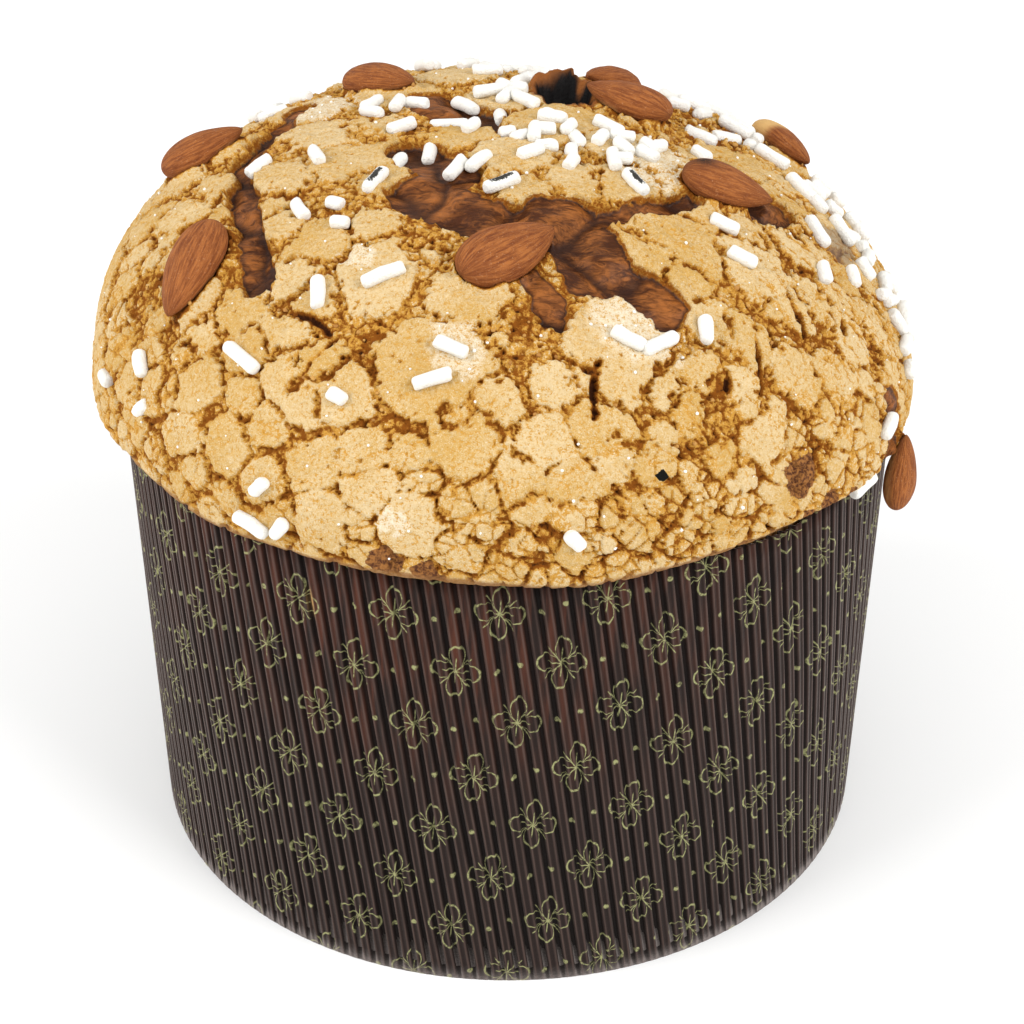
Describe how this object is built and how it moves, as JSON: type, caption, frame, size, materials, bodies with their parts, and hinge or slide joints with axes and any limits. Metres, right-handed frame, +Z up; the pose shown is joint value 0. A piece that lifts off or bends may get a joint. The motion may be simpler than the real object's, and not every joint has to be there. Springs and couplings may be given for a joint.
{
  "type": "panettone in its paper case",
  "caption": "Tall domed sweet loaf with a cracked almond glaze, whole almonds and sugar rods, baked in a fluted dark paper case.",
  "frame": {"origin": "centre of the paper case's flat underside", "axes": "+Z up through the top of the crown; the side that the picture shows faces -Y, with its right side towards +X"},
  "size_m": [0.1812, 0.1792, 0.1689],
  "materials": {
    "crust": "matte",
    "case_paper": "satin",
    "almond_skin": "matte"
  },
  "bodies": {
    "root": {"bread": "crust", "paper_case": "case_paper", "almond_1": "almond_skin", "almond_2": "almond_skin", "almond_3": "almond_skin", "almond_4": "almond_skin", "almond_5": "almond_skin", "almond_6": "almond_skin", "almond_7": "almond_skin", "almond_8": "almond_skin", "almond_9": "almond_skin", "almond_10": "almond_skin", "almond_11": "almond_skin", "almond_12": "almond_skin", "almond_13": "almond_skin"}
  },
  "joints": []
}
